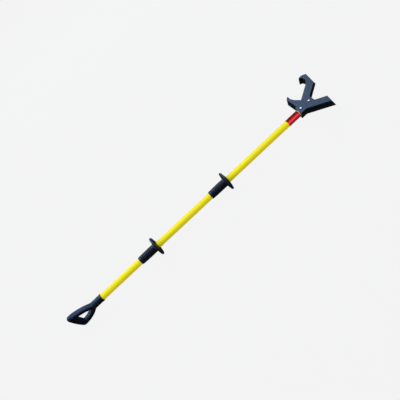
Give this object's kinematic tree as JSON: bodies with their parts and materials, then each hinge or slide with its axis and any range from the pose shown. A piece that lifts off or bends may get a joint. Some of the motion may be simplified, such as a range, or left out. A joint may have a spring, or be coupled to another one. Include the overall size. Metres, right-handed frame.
{
  "type": "push-pull hot stick",
  "caption": "Rigid fibreglass push-pull stick: D-handle, guarded hand grips, red end sleeve and a thick V head with a hook and a barb.",
  "frame": {"origin": "on the pole's axis, at the middle of the D-handle's crossbar", "axes": "+X along the pole from the D-handle to the head, +Z the normal of the head's broad face, +Y towards the hook and barb; the D-handle's crossbar lies along Z"},
  "size_m": [1.8288, 0.254, 0.159],
  "materials": {
    "fibreglass_yellow": "smooth yellow gel coat, slight gloss",
    "moulded_black": "moulded black plastic with a fine satin grain",
    "grip_rubber": "soft black rubber, ribbed",
    "sleeve_red": "red shrunk sleeve, satin",
    "zinc_steel": "bright zinc plating",
    "plug_nylon": "natural nylon",
    "core_foam": "closed-cell foam"
  },
  "bodies": {
    "root": {"pole_tube": "fibreglass_yellow", "d_handle": "moulded_black", "lower_hand_grip": "grip_rubber", "upper_hand_grip": "grip_rubber", "red_sleeve": "sleeve_red", "push_pull_head": "moulded_black", "rear_head_bolt": "zinc_steel", "front_head_bolt": "zinc_steel", "rear_back_washer": "zinc_steel", "front_back_washer": "zinc_steel", "rear_back_nut": "zinc_steel", "front_back_nut": "zinc_steel", "rear_crush_sleeve": "zinc_steel", "front_crush_sleeve": "zinc_steel", "handle_screw": "zinc_steel", "head_end_plug": "plug_nylon", "handle_end_plug": "plug_nylon", "foam_core": "core_foam"}
  },
  "joints": []
}
